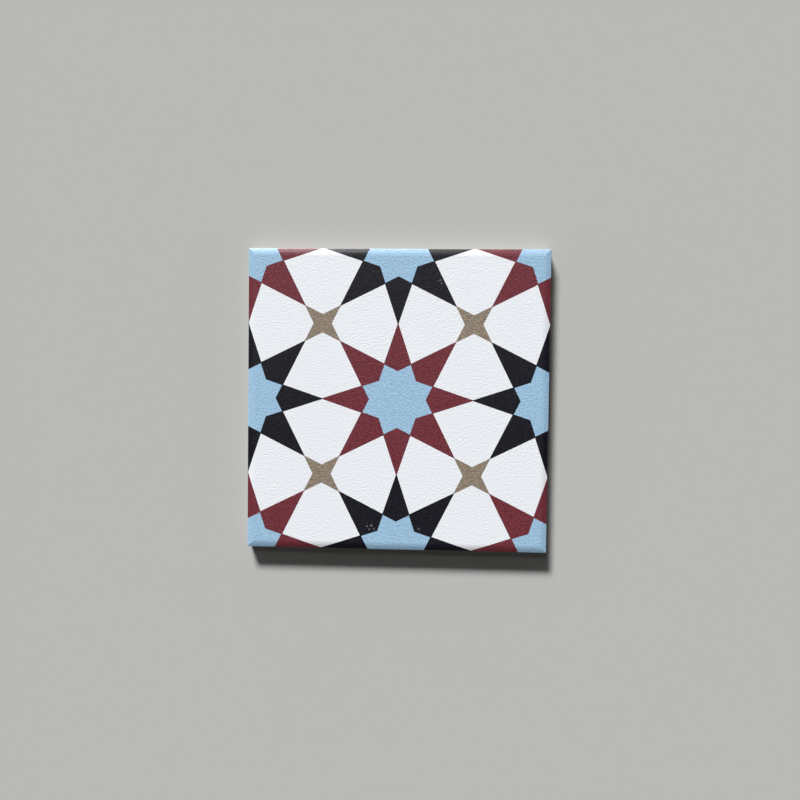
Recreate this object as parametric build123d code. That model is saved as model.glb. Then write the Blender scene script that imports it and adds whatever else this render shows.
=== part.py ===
"""Patterned porcelain floor tile: one piece, dry-pressed, glazed and fired.

The tile lies on its back. The origin is the middle of the back, +Z comes out of the glazed
face, and +X and +Y run along the edges. All sizes are millimetres.
"""
import os
from math import radians, tan

from build123d import *

# Face
face_width = 200.0  # along X
face_length = 200.0  # along Y
thickness = 9.0  # from the back to the glazed face

# Edges
cushion_reach = 4.7  # how far in from the side the glazed face starts to roll down
cushion_drop = 0.8  # how far it has rolled down where it meets the side
lip_radius = 0.3  # rounding of the lip between the rolled edge and the side
glazed_band = 2.6  # straight band of the side, below the rolled edge
draft_angle = 3.0  # degrees that the side leans in from that band to the back
back_bevel = 0.5  # small bevel round the back
corner_radius = 0.8  # plan radius of the four corners

# Keyed back: a grid of shallow sunken cells between ribs, inside a plain rim
rim_width = 12.0
rib_width = 4.0
cell_pitch = 15.0  # wanted pitch: the nearest one that fills the field inside the rim is used
cell_depth = 0.7
cell_corner = 1.5  # how far a cell's corners are clipped at its mouth
cell_draft = 30.0  # degrees that a cell's walls lean in towards its floor


def edge_section(across):
    """The tile's section: a bevelled back, leaning sides, straight bands, lips and rolled edges."""
    band_top = thickness - cushion_drop
    band_foot = band_top - glazed_band
    face_half = across / 2
    back_half = face_half - band_foot * tan(radians(draft_angle))
    lip = (face_half, band_top)
    rolled_edge = TangentArc((face_half - cushion_reach, thickness), lip, tangent=(1, 0))
    right_side = rolled_edge + Polyline(lip, (face_half, band_foot), (back_half, 0))
    left_side = mirror(right_side, Plane.YZ)
    back = Line((-back_half, 0), (back_half, 0))
    face = Line(rolled_edge @ 0, (cushion_reach - face_half, thickness))
    section = make_face([*right_side.edges(), face, *left_side.edges(), back])
    lips = section.vertices().group_by(Axis.Y)[-2]
    section = fillet(lips, lip_radius)
    back_corners = section.vertices().group_by(Axis.Y)[0]
    return chamfer(back_corners, back_bevel)


def pressed_blank():
    """The two sections cross, so that the rolled edges of neighbouring sides meet in a mitre."""
    section_x = Plane.XZ.offset(face_length) * edge_section(face_width)
    section_y = Plane.YZ.offset(-face_width) * edge_section(face_length)
    across_x = extrude(section_x, 2 * face_length, dir=(0, 1, 0))
    across_y = extrude(section_y, 2 * face_width, dir=(1, 0, 0))
    plan = extrude(RectangleRounded(face_width, face_length, corner_radius), thickness)
    return across_x & across_y & plan


def cell_row(side):
    """How many cells fill a side of the back between its rims, and their pitch."""
    field = side - 2 * rim_width + rib_width
    count = round(field / cell_pitch)
    return count, field / count


def key_cells():
    """The sunken cells that the adhesive grips, each with walls that lean in to its floor."""
    count_x, pitch_x = cell_row(face_width)
    count_y, pitch_y = cell_row(face_length)
    opening = Rectangle(pitch_x - rib_width, pitch_y - rib_width)
    mouth = chamfer(opening.vertices(), cell_corner)
    cell = extrude(mouth, cell_depth, taper=cell_draft)
    return [place * cell for place in GridLocations(pitch_x, pitch_y, count_x, count_y)]


os.makedirs("parts", exist_ok=True)
export_step(pressed_blank() - key_cells(), "parts/porcelain_tile.step")
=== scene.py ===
from math import hypot, pi, radians, sin

import bpy
from mathutils import Euler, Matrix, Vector


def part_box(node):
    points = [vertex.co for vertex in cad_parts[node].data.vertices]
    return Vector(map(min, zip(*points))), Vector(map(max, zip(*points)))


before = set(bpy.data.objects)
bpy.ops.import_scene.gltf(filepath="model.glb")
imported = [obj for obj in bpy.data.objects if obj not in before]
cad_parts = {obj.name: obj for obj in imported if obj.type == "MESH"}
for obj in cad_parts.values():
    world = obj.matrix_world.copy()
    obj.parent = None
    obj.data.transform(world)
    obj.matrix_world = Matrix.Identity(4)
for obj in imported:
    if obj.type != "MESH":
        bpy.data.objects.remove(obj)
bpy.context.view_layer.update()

# The scene is in metres, and the sizes below are in millimetres.
mm = 0.001
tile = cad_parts["porcelain_tile"]
tile_low, tile_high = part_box("porcelain_tile")
face_height = tile_high[2] / mm

# Printed pattern: eight-pointed stars on a square grid
star_pitch = 100.23
print_shift = (0.1, 0.4, 0.0)  # how far the print lies off the tile's middle
edge_reach = star_pitch / 2  # from a star's middle to its points along the edges, where stars touch
edge_slope = 3.0  # these points are slender: their sides fall 1 in 3
corner_reach = 38.24  # along X and along Y, to its points towards the four small stars
corner_slope = 0.5  # the sides of these points fall 1 in 2, and so do the small stars'
dark_spread = 0.30  # how far burgundy and black run over the drawn lines, so that no gap shows
taupe_spread = 0.15  # how far taupe does
ink_waver = 0.10  # how far an ink's outline strays

# Chalky specks where the print was scuffed: place on the print, and radius
chalk_specks = [
    ((-19.3, -84.9), 0.75),
    ((-16.4, -84.4), 1.15),
    ((-17.7, -86.9), 0.70),
    ((-14.7, -86.7), 0.80),
    ((-19.4, -82.6), 0.35),
    ((15.4, -86.1), 0.95),
    ((27.6, 79.2), 0.90),
    ((26.0, 78.4), 0.50),
    ((28.3, 77.2), 0.80),
    ((-81.2, 84.0), 0.50),
]
speck_rim = 1.7  # where a speck starts, in radii: about half a radius of it goes to the ragged outline
speck_heart = 0.5  # where it is full, measured in the same way
speck_cover = 0.29  # how much of the print a speck hides at its middle

# Faint chalky haze over the whole print
haze_patch = 1.4
haze_levels = (0.45, 0.75)  # noise at which the haze starts, and at which it is full
haze_cover = 0.018  # how much of the print it hides where it is full

# Side: how far down from the face the print and the sprayed glaze reach, and over what height they end
print_depth = 0.95
print_fade = 0.3
glaze_depth = 3.2
glaze_fade = 1.6
run_width = 6.0  # width of the runs in their lower lines

# Fine relief and grain. A matt glaze's dimples are about 0.5 mm wide and ink dots 0.1 mm, so both
# are drawn coarser here, to show.
glaze_dimple = 1.1
dimple_middle = 0.5  # noise at the level of the face
glaze_dimple_depth = 0.22
edge_dimple_depth = 0.08  # on the rolled edge, where the glaze pools and pulls smooth
smooth_drop = 0.17  # how far the face has rolled down where it has pulled smooth
ink_dot = 1.1
dot_levels = (0.25, 0.75)  # noise of the darkest and of the lightest dots
ink_grain = 0.18  # how much darker or lighter than its ink a blue dot gets
dark_ink_grain = 0.45  # how much burgundy, black and taupe dots do
press_grain = 0.7
press_grain_depth = 0.10
body_fleck = 0.9
fleck_levels = (0.50, 0.70)  # noise at which a fleck starts, and at which it is full

# Shine: a roughness of 0 is a mirror, and 1 is chalk
glaze_rough = (0.50, 0.66)  # low and high in the dimples
edge_rough = 0.45  # on the rolled edge
pool_rough = 0.25  # of the glossy skin on the glaze that pools there
glaze_specular = 0.35
body_rough = 0.85

# Back: kiln wash, a white slip rolled on the ribs and rim so that the tile can't stick in the kiln
wash_height = 0.1  # it only touches the plane of the back
wash_patch = 9.0
wash_levels = (0.20, 0.80)  # noise where it is thinnest, and where it is thickest
wash_cover = 0.7  # how much of the body it hides where it is thickest

# Inks, glaze and body
glaze_white = "#EAEDF2"
ink_blue = "#9ABDD8"
ink_burgundy = "#6C2A34"
ink_black = "#060514"
ink_taupe = "#8A7D6E"
chalk = "#C4C1C0"
thin_glaze = "#AEACA8"
body_clay = "#A79F93"
body_fleck_dark = "#8A8175"
kiln_wash = "#CFCCC5"

# Studio
floor_paint = "#B9B9B7"
paint_rough = 0.9
paint_specular = 0.0
floor_half = 20000.0
floor_gap = 0.05  # between the floor and the tile's back
ceiling_grey = "#161616"
wall_top = 0.12  # sine of the angle above the horizon at which the walls start to darken
ceiling_start = 0.50  # and at which they are as dark as the ceiling
key_turns = (11.5, 17.0, 22.5)  # degrees left of +Y, one lamp at each
key_rise = 25.8  # degrees above the floor
key_breadth = 9.5  # degrees across
key_level = 0.900  # how much of the light on the floor comes from these lamps
upper_turn = 18.0  # a weaker and wider lamp above these
upper_rise = 55.0
upper_breadth = 13.0
upper_level = 0.045

# Camera
photo_width = 800  # pixels
focal_length = 785  # pixels
sensor_width = 36.0
camera_place = (26.85, 18.76, 528.8)
camera_turn = (-2.011, 2.766, 0.688)  # degrees about X, Y and Z, from straight down


def linear(colour):
    """A hex sRGB colour as linear RGBA."""
    levels = [int(colour[i:i + 2], 16) / 255 for i in (1, 3, 5)]
    return [v / 12.92 if v <= 0.04045 else ((v + 0.055) / 1.055) ** 2.4 for v in levels] + [1.0]


def add(tree, kind, links={}, **settings):
    """Add a node with its settings. A link is a value for a socket, or the output that feeds it."""
    node = tree.nodes.new("ShaderNode" + kind)
    for name, value in settings.items():
        setattr(node, name, value)
    for socket, value in links.items():
        if isinstance(value, bpy.types.NodeSocket):
            tree.links.new(value, node.inputs[socket])
        else:
            node.inputs[socket].default_value = value
    return node.outputs


def star_print(tree, place):
    """The printed colours. Each star is two crossed four-pointed stars, one with its points along the
    edges and one with its points towards the corners: their common middle is blue, what only one of
    them covers is a kite, burgundy or black by turns, and small taupe stars stand between. The kites'
    ink spreads over their lines on both sides."""
    stray = add(tree, "TexNoise", {"Vector": place, "Scale": 1 / ink_dot, "Detail": 1.0})["Color"]
    waver = {0: stray, 1: [2 * ink_waver] * 3, 2: [-ink_waver] * 3}
    stray = add(tree, "VectorMath", waver, operation="MULTIPLY_ADD")[0]
    wavy = add(tree, "VectorMath", {0: place, 1: stray}, operation="ADD")[0]
    x, y, _ = add(tree, "SeparateXYZ", {0: wavy})
    from_star_x = add(tree, "Math", {0: x, 1: star_pitch / 2}, operation="PINGPONG")[0]
    from_star_y = add(tree, "Math", {0: y, 1: star_pitch / 2}, operation="PINGPONG")[0]
    near = add(tree, "Math", {0: from_star_x, 1: from_star_y}, operation="MINIMUM")[0]
    far = add(tree, "Math", {0: from_star_x, 1: from_star_y}, operation="MAXIMUM")[0]

    edge_line = {0: near, 1: edge_slope, 2: far}
    edge_line = add(tree, "Math", edge_line, operation="MULTIPLY_ADD")[0]
    corner_line = {0: near, 1: -corner_slope, 2: far}
    corner_line = add(tree, "Math", corner_line, operation="MULTIPLY_ADD")[0]
    small_line = {0: far, 1: -corner_slope, 2: near}
    small_line = add(tree, "Math", small_line, operation="MULTIPLY_ADD")[0]
    edge_spread = dark_spread * hypot(1, edge_slope)
    outer_edge = edge_reach + edge_spread
    inner_edge = edge_reach - edge_spread
    notch = corner_reach * (1 - corner_slope)
    corner_spread = dark_spread * hypot(1, corner_slope)
    outer_notch = notch + corner_spread
    inner_notch = notch - corner_spread
    small_notch = notch - taupe_spread * hypot(1, corner_slope)
    edge_star = add(tree, "Math", {0: edge_line, 1: outer_edge}, operation="LESS_THAN")[0]
    edge_core = add(tree, "Math", {0: edge_line, 1: inner_edge}, operation="LESS_THAN")[0]
    corner_star = add(tree, "Math", {0: corner_line, 1: outer_notch}, operation="LESS_THAN")[0]
    corner_core = add(tree, "Math", {0: corner_line, 1: inner_notch}, operation="LESS_THAN")[0]
    star = add(tree, "Math", {0: edge_star, 1: corner_star}, operation="MAXIMUM")[0]
    core = add(tree, "Math", {0: edge_core, 1: corner_core}, operation="MINIMUM")[0]
    small_star = add(tree, "Math", {0: small_line, 1: small_notch}, operation="GREATER_THAN")[0]

    dots = add(tree, "TexNoise", {"Vector": place, "Scale": 1 / ink_dot, "Detail": 2.0})["Fac"]
    darkest, lightest = dot_levels
    dots = {"Value": dots, "From Min": darkest, "From Max": lightest, "To Min": -1.0}
    dots = add(tree, "MapRange", dots)["Result"]
    pale = add(tree, "Math", {0: dots, 1: ink_grain, 2: 1.0}, operation="MULTIPLY_ADD")[0]
    dark = add(tree, "Math", {0: dots, 1: dark_ink_grain, 2: 1.0}, operation="MULTIPLY_ADD")[0]
    corner = add(tree, "VectorMath", {0: place, 1: [star_pitch / 2] * 3}, operation="ADD")[0]
    kite = {
        "Vector": corner,
        "Scale": 1 / star_pitch,
        "Color1": linear(ink_black),
        "Color2": linear(ink_burgundy),
    }
    kite = add(tree, "TexChecker", kite)["Color"]
    kite = add(tree, "VectorMath", {0: kite, "Scale": dark}, operation="SCALE")[0]
    blue = add(tree, "VectorMath", {0: linear(ink_blue)[:3], "Scale": pale}, operation="SCALE")[0]
    taupe = add(tree, "VectorMath", {0: linear(ink_taupe)[:3], "Scale": dark}, operation="SCALE")[0]
    ground = {0: small_star, 6: linear(glaze_white), 7: taupe}
    ground = add(tree, "Mix", ground, data_type="RGBA")[2]
    kites = add(tree, "Mix", {0: star, 6: ground, 7: kite}, data_type="RGBA")[2]
    return add(tree, "Mix", {0: core, 6: kites, 7: blue}, data_type="RGBA")[2]


def scuffed(tree, place, colour):
    """The print under a faint chalky haze, with pale specks where it was scuffed."""
    haze = add(tree, "TexNoise", {"Vector": place, "Scale": 1 / haze_patch, "Detail": 3.0})["Fac"]
    start, full = haze_levels
    cover = {"Value": haze, "From Min": start, "From Max": full, "To Max": haze_cover}
    cover = add(tree, "MapRange", cover)["Result"]
    for (x, y), radius in chalk_specks:
        middle = (x, y, face_height)
        away = add(tree, "VectorMath", {0: place, 1: middle}, operation="DISTANCE")["Value"]
        ragged = add(tree, "Math", {0: haze, 1: radius, 2: away}, operation="MULTIPLY_ADD")[0]
        rim = speck_rim * radius
        heart = speck_heart * radius
        speck = {"Value": ragged, "From Min": rim, "From Max": heart, "To Max": speck_cover}
        speck = add(tree, "MapRange", speck, interpolation_type="SMOOTHSTEP")["Result"]
        cover = add(tree, "Math", {0: cover, 1: speck}, operation="MAXIMUM")[0]
    return add(tree, "Mix", {0: cover, 6: colour, 7: linear(chalk)}, data_type="RGBA")[2]


def coated(tree, place, depth, fade):
    """1 where a coat covers the tile, falling to 0 over the fade where its lower line runs unevenly
    along the side."""
    height = add(tree, "SeparateXYZ", {0: place})["Z"]
    run = add(tree, "TexNoise", {"Vector": place, "Scale": 1 / run_width, "Detail": 4.0})["Fac"]
    above = add(tree, "Math", {0: run, 1: fade, 2: height}, operation="MULTIPLY_ADD")[0]
    line = face_height - depth
    return add(tree, "MapRange", {"Value": above, "From Min": line, "From Max": line + fade})["Result"]


def washed(tree, place, colour):
    """The pressed body with softly mottled kiln wash on the plane of its back."""
    height = add(tree, "SeparateXYZ", {0: place})["Z"]
    low = add(tree, "Math", {0: height, 1: wash_height}, operation="LESS_THAN")[0]
    cover = add(tree, "TexNoise", {"Vector": place, "Scale": 1 / wash_patch, "Detail": 5.0})["Fac"]
    thinnest, thickest = wash_levels
    cover = {"Value": cover, "From Min": thinnest, "From Max": thickest, "To Max": wash_cover}
    cover = add(tree, "MapRange", cover)["Result"]
    cover = add(tree, "Math", {0: cover, 1: low}, operation="MULTIPLY")[0]
    return add(tree, "Mix", {0: cover, 6: colour, 7: linear(kiln_wash)}, data_type="RGBA")[2]


def glazed_porcelain():
    """Porcelain, dry-pressed, with ink printed on it and a matt glaze sprayed over: solid colours with
    a fine ink grain, and a soft broad shine that the glaze's dimples break up. On the rolled edge the
    glaze pools, and it is smooth and glossy there. On the side it thins out in uneven runs, and below
    it the pressed body is dull, powdery and flecked."""
    material = bpy.data.materials.new("matt_glazed_porcelain")
    material.use_nodes = True
    tree = material.node_tree
    tree.nodes.clear()
    metres = add(tree, "TexCoord")["Object"]
    place = add(tree, "VectorMath", {0: metres, "Scale": 1 / mm}, operation="SCALE")[0]

    print_place = add(tree, "VectorMath", {0: place, 1: print_shift}, operation="SUBTRACT")[0]
    printed = scuffed(tree, print_place, star_print(tree, print_place))
    with_print = coated(tree, place, print_depth, print_fade)
    with_glaze = coated(tree, place, glaze_depth, glaze_fade)
    flecks = add(tree, "TexNoise", {"Vector": place, "Scale": 1 / body_fleck, "Detail": 3.0})["Fac"]
    start, full = fleck_levels
    flecks = add(tree, "MapRange", {"Value": flecks, "From Min": start, "From Max": full})["Result"]
    body = {0: flecks, 6: linear(body_clay), 7: linear(body_fleck_dark)}
    body = add(tree, "Mix", body, data_type="RGBA")[2]
    body = washed(tree, place, body)
    side = add(tree, "Mix", {0: with_glaze, 6: body, 7: linear(thin_glaze)}, data_type="RGBA")[2]
    colour = add(tree, "Mix", {0: with_print, 6: side, 7: printed}, data_type="RGBA")[2]

    dimples = {"Vector": place, "Scale": 1 / glaze_dimple, "Detail": 2.0}
    dimples = add(tree, "TexNoise", dimples)["Fac"]
    low_rough, high_rough = glaze_rough
    shine = {"Value": dimples, "To Min": low_rough, "To Max": high_rough}
    shine = add(tree, "MapRange", shine)["Result"]
    height = add(tree, "SeparateXYZ", {0: place})["Z"]
    rolled = {"Value": height, "From Min": face_height, "From Max": face_height - smooth_drop}
    rolled = add(tree, "MapRange", rolled)["Result"]
    shine = add(tree, "Mix", {0: rolled, 2: shine, 3: edge_rough})[0]
    rough = add(tree, "Mix", {0: with_glaze, 2: body_rough, 3: shine})[0]
    powder = add(tree, "TexNoise", {"Vector": place, "Scale": 1 / press_grain, "Detail": 2.0})["Fac"]
    powder = add(tree, "Math", {0: powder, 1: press_grain_depth}, operation="MULTIPLY")[0]
    depth = add(tree, "Mix", {0: rolled, 2: glaze_dimple_depth, 3: edge_dimple_depth})[0]
    skin = add(tree, "Math", {0: dimples, 1: dimple_middle}, operation="SUBTRACT")[0]
    skin = add(tree, "Math", {0: skin, 1: depth}, operation="MULTIPLY")[0]
    relief = add(tree, "Mix", {0: with_glaze, 2: powder, 3: skin})[0]
    bump = add(tree, "Bump", {"Height": relief, "Distance": mm, "Strength": 1.0})["Normal"]

    pooled = add(tree, "Math", {0: rolled, 1: with_glaze}, operation="MULTIPLY")[0]
    surface = {
        "Base Color": colour,
        "Roughness": rough,
        "Specular IOR Level": glaze_specular,
        "Normal": bump,
        "Coat Weight": pooled,
        "Coat Roughness": pool_rough,
        "Coat Normal": bump,
    }
    surface = add(tree, "BsdfPrincipled", surface)["BSDF"]
    add(tree, "OutputMaterial", {"Surface": surface})
    return material


def painted_board():
    """Board with matt wall paint on it: even, pale and dull."""
    material = bpy.data.materials.new("matt_painted_board")
    material.use_nodes = True
    tree = material.node_tree
    tree.nodes.clear()
    surface = {
        "Base Color": linear(floor_paint),
        "Roughness": paint_rough,
        "Specular IOR Level": paint_specular,
    }
    surface = add(tree, "BsdfPrincipled", surface)["BSDF"]
    add(tree, "OutputMaterial", {"Surface": surface})
    return material


def lay_floor():
    """A wide plain floor, a hair below the tile's back."""
    reach = floor_half * mm
    level = tile_low[2] - floor_gap * mm
    plan = [(-reach, -reach), (reach, -reach), (reach, reach), (-reach, reach)]
    mesh = bpy.data.meshes.new("floor")
    mesh.from_pydata([(x, y, level) for x, y in plan], [], [(0, 1, 2, 3)])
    mesh.materials.append(painted_board())
    floor = bpy.data.objects.new("floor", mesh)
    bpy.context.collection.objects.link(floor)


def light_room():
    """Walls as pale as the floor under a dim ceiling: a weak light from all round."""
    world = bpy.data.worlds.new("studio_room")
    bpy.context.scene.world = world
    world.use_nodes = True
    tree = world.node_tree
    tree.nodes.clear()
    direction = add(tree, "TexCoord")["Generated"]
    height = add(tree, "SeparateXYZ", {0: direction})["Z"]
    upward = {"Value": height, "From Min": wall_top, "From Max": ceiling_start}
    upward = add(tree, "MapRange", upward, interpolation_type="SMOOTHSTEP")["Result"]
    walls = {0: upward, 6: linear(floor_paint), 7: linear(ceiling_grey)}
    walls = add(tree, "Mix", walls, data_type="RGBA")[2]
    add(tree, "OutputWorld", {"Surface": add(tree, "Background", {"Color": walls})[0]})


def hang_lamp(name, turn, rise, breadth, level):
    """A large soft lamp, far off beyond the tile's top edge and left of its middle."""
    lamp = bpy.data.lights.new(name, "SUN")
    lamp.energy = level * pi / sin(radians(rise))
    lamp.angle = radians(breadth)
    light = bpy.data.objects.new(name, lamp)
    light.rotation_euler = Euler((radians(90 - rise), 0, radians(180 + turn)))
    bpy.context.collection.objects.link(light)


def set_camera():
    """Nearly straight above the tile."""
    camera = bpy.data.objects.new("camera", bpy.data.cameras.new("camera"))
    camera.data.sensor_width = sensor_width
    camera.data.lens = focal_length / photo_width * sensor_width
    camera.location = Vector(camera_place) * mm
    camera.rotation_euler = Euler([radians(turn) for turn in camera_turn])
    bpy.context.collection.objects.link(camera)
    bpy.context.scene.camera = camera


tile.data.materials.clear()
tile.data.materials.append(glazed_porcelain())
lay_floor()
light_room()
for turn in key_turns:
    hang_lamp("key_light", turn, key_rise, key_breadth, key_level / len(key_turns))
hang_lamp("upper_light", upper_turn, upper_rise, upper_breadth, upper_level)
set_camera()
bpy.context.scene.view_settings.view_transform = "Standard"
